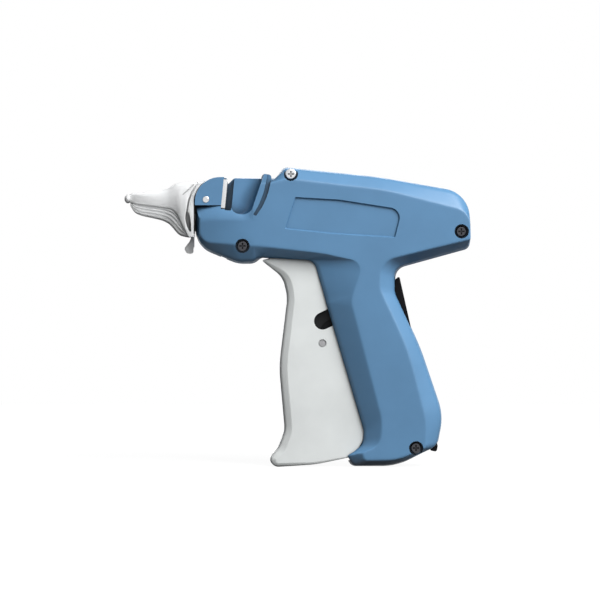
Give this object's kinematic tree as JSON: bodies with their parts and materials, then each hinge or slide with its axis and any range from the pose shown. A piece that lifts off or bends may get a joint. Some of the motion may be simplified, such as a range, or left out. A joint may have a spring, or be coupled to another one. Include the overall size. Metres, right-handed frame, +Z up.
{
  "type": "garment tag attacher",
  "caption": "Hand-held tagging gun: squeezing the trigger drives a rod through a hollow needle to push a plastic tag fastener through cloth; capped needle, two-shell pistol body.",
  "frame": {"origin": "centre of the footprint, at the level of the trigger toe and the handle heel, on the parting plane of the two casings", "axes": "+X from the needle tip to the back of the body, +Y to the plain casing, +Z up"},
  "size_m": [0.1657, 0.027, 0.1432],
  "materials": {
    "blue_casing": "moulded ABS, satin, blue",
    "grey_plastic": "moulded ABS, satin, pale grey",
    "cap_plastic": "moulded polypropylene, satin, pale grey",
    "black_plastic": "moulded acetal, black",
    "white_plastic": "moulded acetal, natural white",
    "black_rubber": "moulded rubber",
    "screw_steel": "zinc-plated steel",
    "bright_steel": "ground stainless steel",
    "pin_steel": "drawn steel"
  },
  "bodies": {
    "housing": {"left_casing": "blue_casing", "right_casing": "blue_casing", "casing_screws": "screw_steel", "nose_block": "blue_casing", "nose_pin": "screw_steel", "cutter_plate": "bright_steel", "needle_hub": "black_plastic", "needle": "bright_steel", "back_strap": "black_plastic", "trigger_pin": "pin_steel", "lever_pin": "pin_steel", "feed_shaft": "pin_steel", "slider_bumper": "black_rubber", "return_spring": "pin_steel"},
    "trigger": {"trigger": "grey_plastic", "drive_pin": "pin_steel", "feed_pin": "pin_steel"},
    "main_lever": {"main_lever": "black_plastic"},
    "slider": {"slider": "white_plastic", "slider_pin": "pin_steel", "push_rod": "pin_steel"},
    "feed_wheel": {"feed_wheel": "white_plastic"},
    "feed_lever": {"feed_lever": "pin_steel"},
    "needle_lock": {"needle_lock": "cap_plastic"},
    "needle_cap": {"needle_cap": "cap_plastic"}
  },
  "joints": [
    {"name": "trigger_squeeze", "type": "hinge", "parent": "housing", "child": "trigger", "pos_m": [-0.003, 0, 0.1065], "axis": [0, -1, 0], "range_deg": [0, 19], "stiffness_Nm_per_rad": 2, "springref_deg": -17.19},
    {"name": "main_lever_swing", "type": "hinge", "parent": "housing", "child": "main_lever", "pos_m": [0.0234, 0, 0.0766], "axis": [0, -1, 0], "range_deg": [0, 60.01]},
    {"name": "slider_stroke", "type": "slide", "parent": "housing", "child": "slider", "axis": [-0.9954, 0, 0.0958], "range_m": [0, 0.04801]},
    {"name": "feed_wheel_turn", "type": "hinge", "parent": "housing", "child": "feed_wheel", "pos_m": [-0.02617, 0, 0.11519], "axis": [0, -1, 0], "range_deg": [-22.51, 0]},
    {"name": "feed_lever_swing", "type": "hinge", "parent": "housing", "child": "feed_lever", "pos_m": [-0.02617, 0, 0.11519], "axis": [0, -1, 0], "range_deg": [-22.51, 0]},
    {"name": "needle_lock_turn", "type": "hinge", "parent": "housing", "child": "needle_lock", "pos_m": [-0.0501, 0, 0.108], "axis": [0, 0, 1], "range_deg": [0, 90]},
    {"name": "needle_cap_pull", "type": "slide", "parent": "housing", "child": "needle_cap", "axis": [-0.9954, 0, 0.0958], "range_m": [0, 0.05]}
  ],
  "couplings": [
    {"joint": "main_lever_swing", "follows": "trigger_squeeze", "ratio": 3.1582},
    {"joint": "slider_stroke", "follows": "trigger_squeeze", "m_per_rad": 0.14475},
    {"joint": "feed_wheel_turn", "follows": "trigger_squeeze", "ratio": -1.1842},
    {"joint": "feed_lever_swing", "follows": "trigger_squeeze", "ratio": -1.1842}
  ]
}
